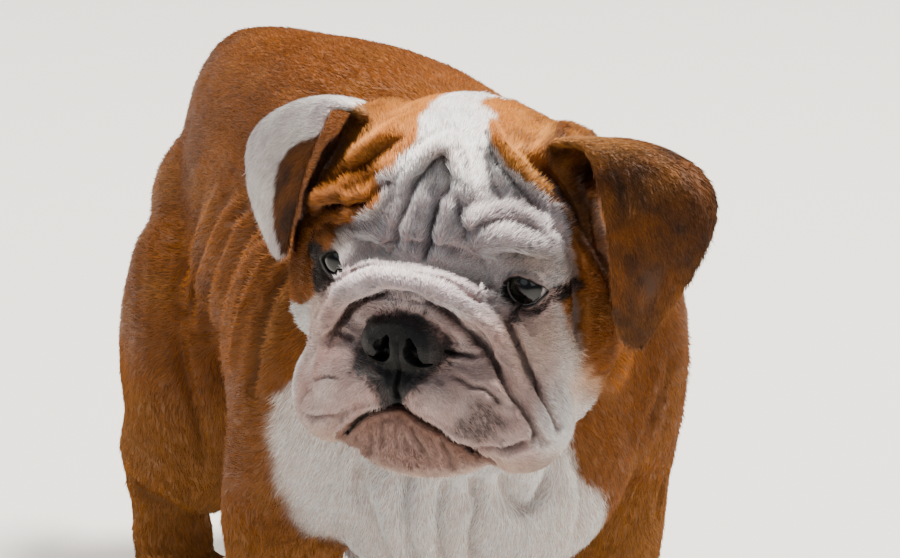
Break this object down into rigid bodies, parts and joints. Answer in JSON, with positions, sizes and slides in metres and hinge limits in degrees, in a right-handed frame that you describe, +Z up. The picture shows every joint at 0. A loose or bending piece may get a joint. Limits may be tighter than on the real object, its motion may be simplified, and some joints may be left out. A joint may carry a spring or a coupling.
{
  "type": "english bulldog puppy, still life-size model",
  "caption": "Life-size still model of a red and white English bulldog puppy, standing with its head turned to its right.",
  "frame": {"origin": "on the floor, in the middle of the box round the whole dog", "axes": "+Z up; the body runs along Y with the chest at -Y and the tail at +Y; the dog's left side is at +X"},
  "size_m": [0.2638, 0.5188, 0.3789],
  "materials": {
    "coat_red": "short glossy fur, red-brown",
    "coat_white": "short fur, white with pink and grey skin showing",
    "nose_leather": "moist, finely pebbled",
    "eye": "wet",
    "claw": "horn, satin"
  },
  "bodies": {
    "root": {"claw_front_left_1": "claw", "claw_front_left_2": "claw", "claw_front_left_3": "claw", "claw_front_left_4": "claw", "claw_front_right_1": "claw", "claw_front_right_2": "claw", "claw_front_right_3": "claw", "claw_front_right_4": "claw", "claw_hind_left_1": "claw", "claw_hind_left_2": "claw", "claw_hind_left_3": "claw", "claw_hind_left_4": "claw", "claw_hind_right_1": "claw", "claw_hind_right_2": "claw", "claw_hind_right_3": "claw", "claw_hind_right_4": "claw", "ear_left": "coat_red", "ear_right": "coat_red", "eye_left": "eye", "eye_right": "eye", "front_leg_left": "coat_red", "front_leg_right": "coat_red", "front_paw_left": "coat_red", "front_paw_right": "coat_red", "head": "coat_white", "hind_leg_left": "coat_red", "hind_leg_right": "coat_red", "hind_paw_left": "coat_red", "hind_paw_right": "coat_red", "lower_jaw": "coat_white", "neck": "coat_red", "nose": "nose_leather", "tail": "coat_red", "torso": "coat_red"}
  },
  "joints": []
}
